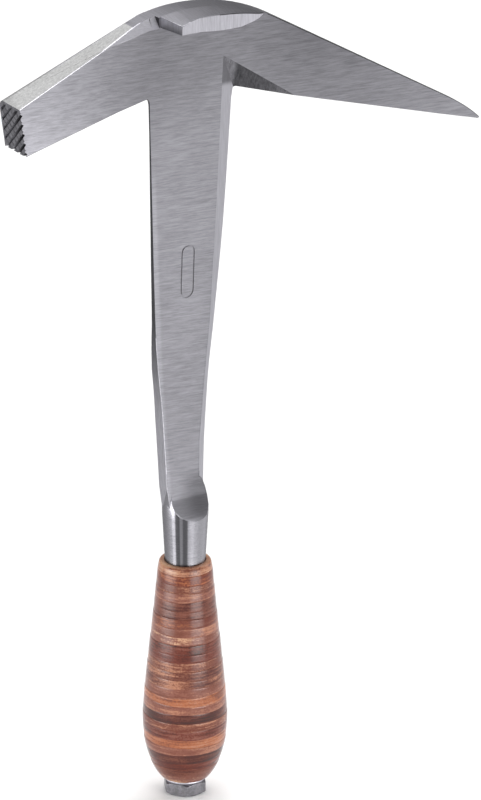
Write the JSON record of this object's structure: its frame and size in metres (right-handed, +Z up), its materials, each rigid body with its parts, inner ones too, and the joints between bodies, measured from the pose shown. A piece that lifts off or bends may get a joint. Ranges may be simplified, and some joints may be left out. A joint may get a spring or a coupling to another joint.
{
  "type": "slater's hammer",
  "caption": "Slater's hammer: one steel forging with a square striking face, pick, nail claw and cutting edge, on a stacked leather grip held by a butt nut.",
  "frame": {"origin": "centre of the butt end of the tang, flush with the underside of the butt nut", "axes": "+Z up the shank to the head, -X to the striking face, +X to the pick, -Y the front with the nail claw"},
  "size_m": [0.2097, 0.0322, 0.3201],
  "materials": {
    "forged_steel": "ground and brushed bare steel",
    "plated_steel": "zinc-plated steel, slightly mottled",
    "leather_tan": "varnished tan leather",
    "leather_brown": "varnished red-brown leather",
    "leather_dark": "varnished dark brown leather"
  },
  "bodies": {
    "root": {"hammer_body": "forged_steel", "leather_ring_01": "leather_tan", "leather_ring_02": "leather_tan", "leather_ring_03": "leather_brown", "leather_ring_04": "leather_brown", "leather_ring_05": "leather_brown", "leather_ring_06": "leather_dark", "leather_ring_07": "leather_dark", "leather_ring_08": "leather_brown", "leather_ring_09": "leather_dark", "leather_ring_10": "leather_dark", "leather_ring_11": "leather_brown", "leather_ring_12": "leather_brown", "leather_ring_13": "leather_tan", "leather_ring_14": "leather_tan", "leather_ring_15": "leather_tan", "leather_ring_16": "leather_brown", "leather_ring_17": "leather_brown", "leather_ring_18": "leather_brown", "leather_ring_19": "leather_brown", "leather_ring_20": "leather_dark", "leather_ring_21": "leather_brown", "leather_ring_22": "leather_brown", "leather_ring_23": "leather_brown", "leather_ring_24": "leather_dark", "leather_ring_25": "leather_tan", "leather_ring_26": "leather_tan", "end_washer": "plated_steel", "butt_nut": "plated_steel"}
  },
  "joints": []
}
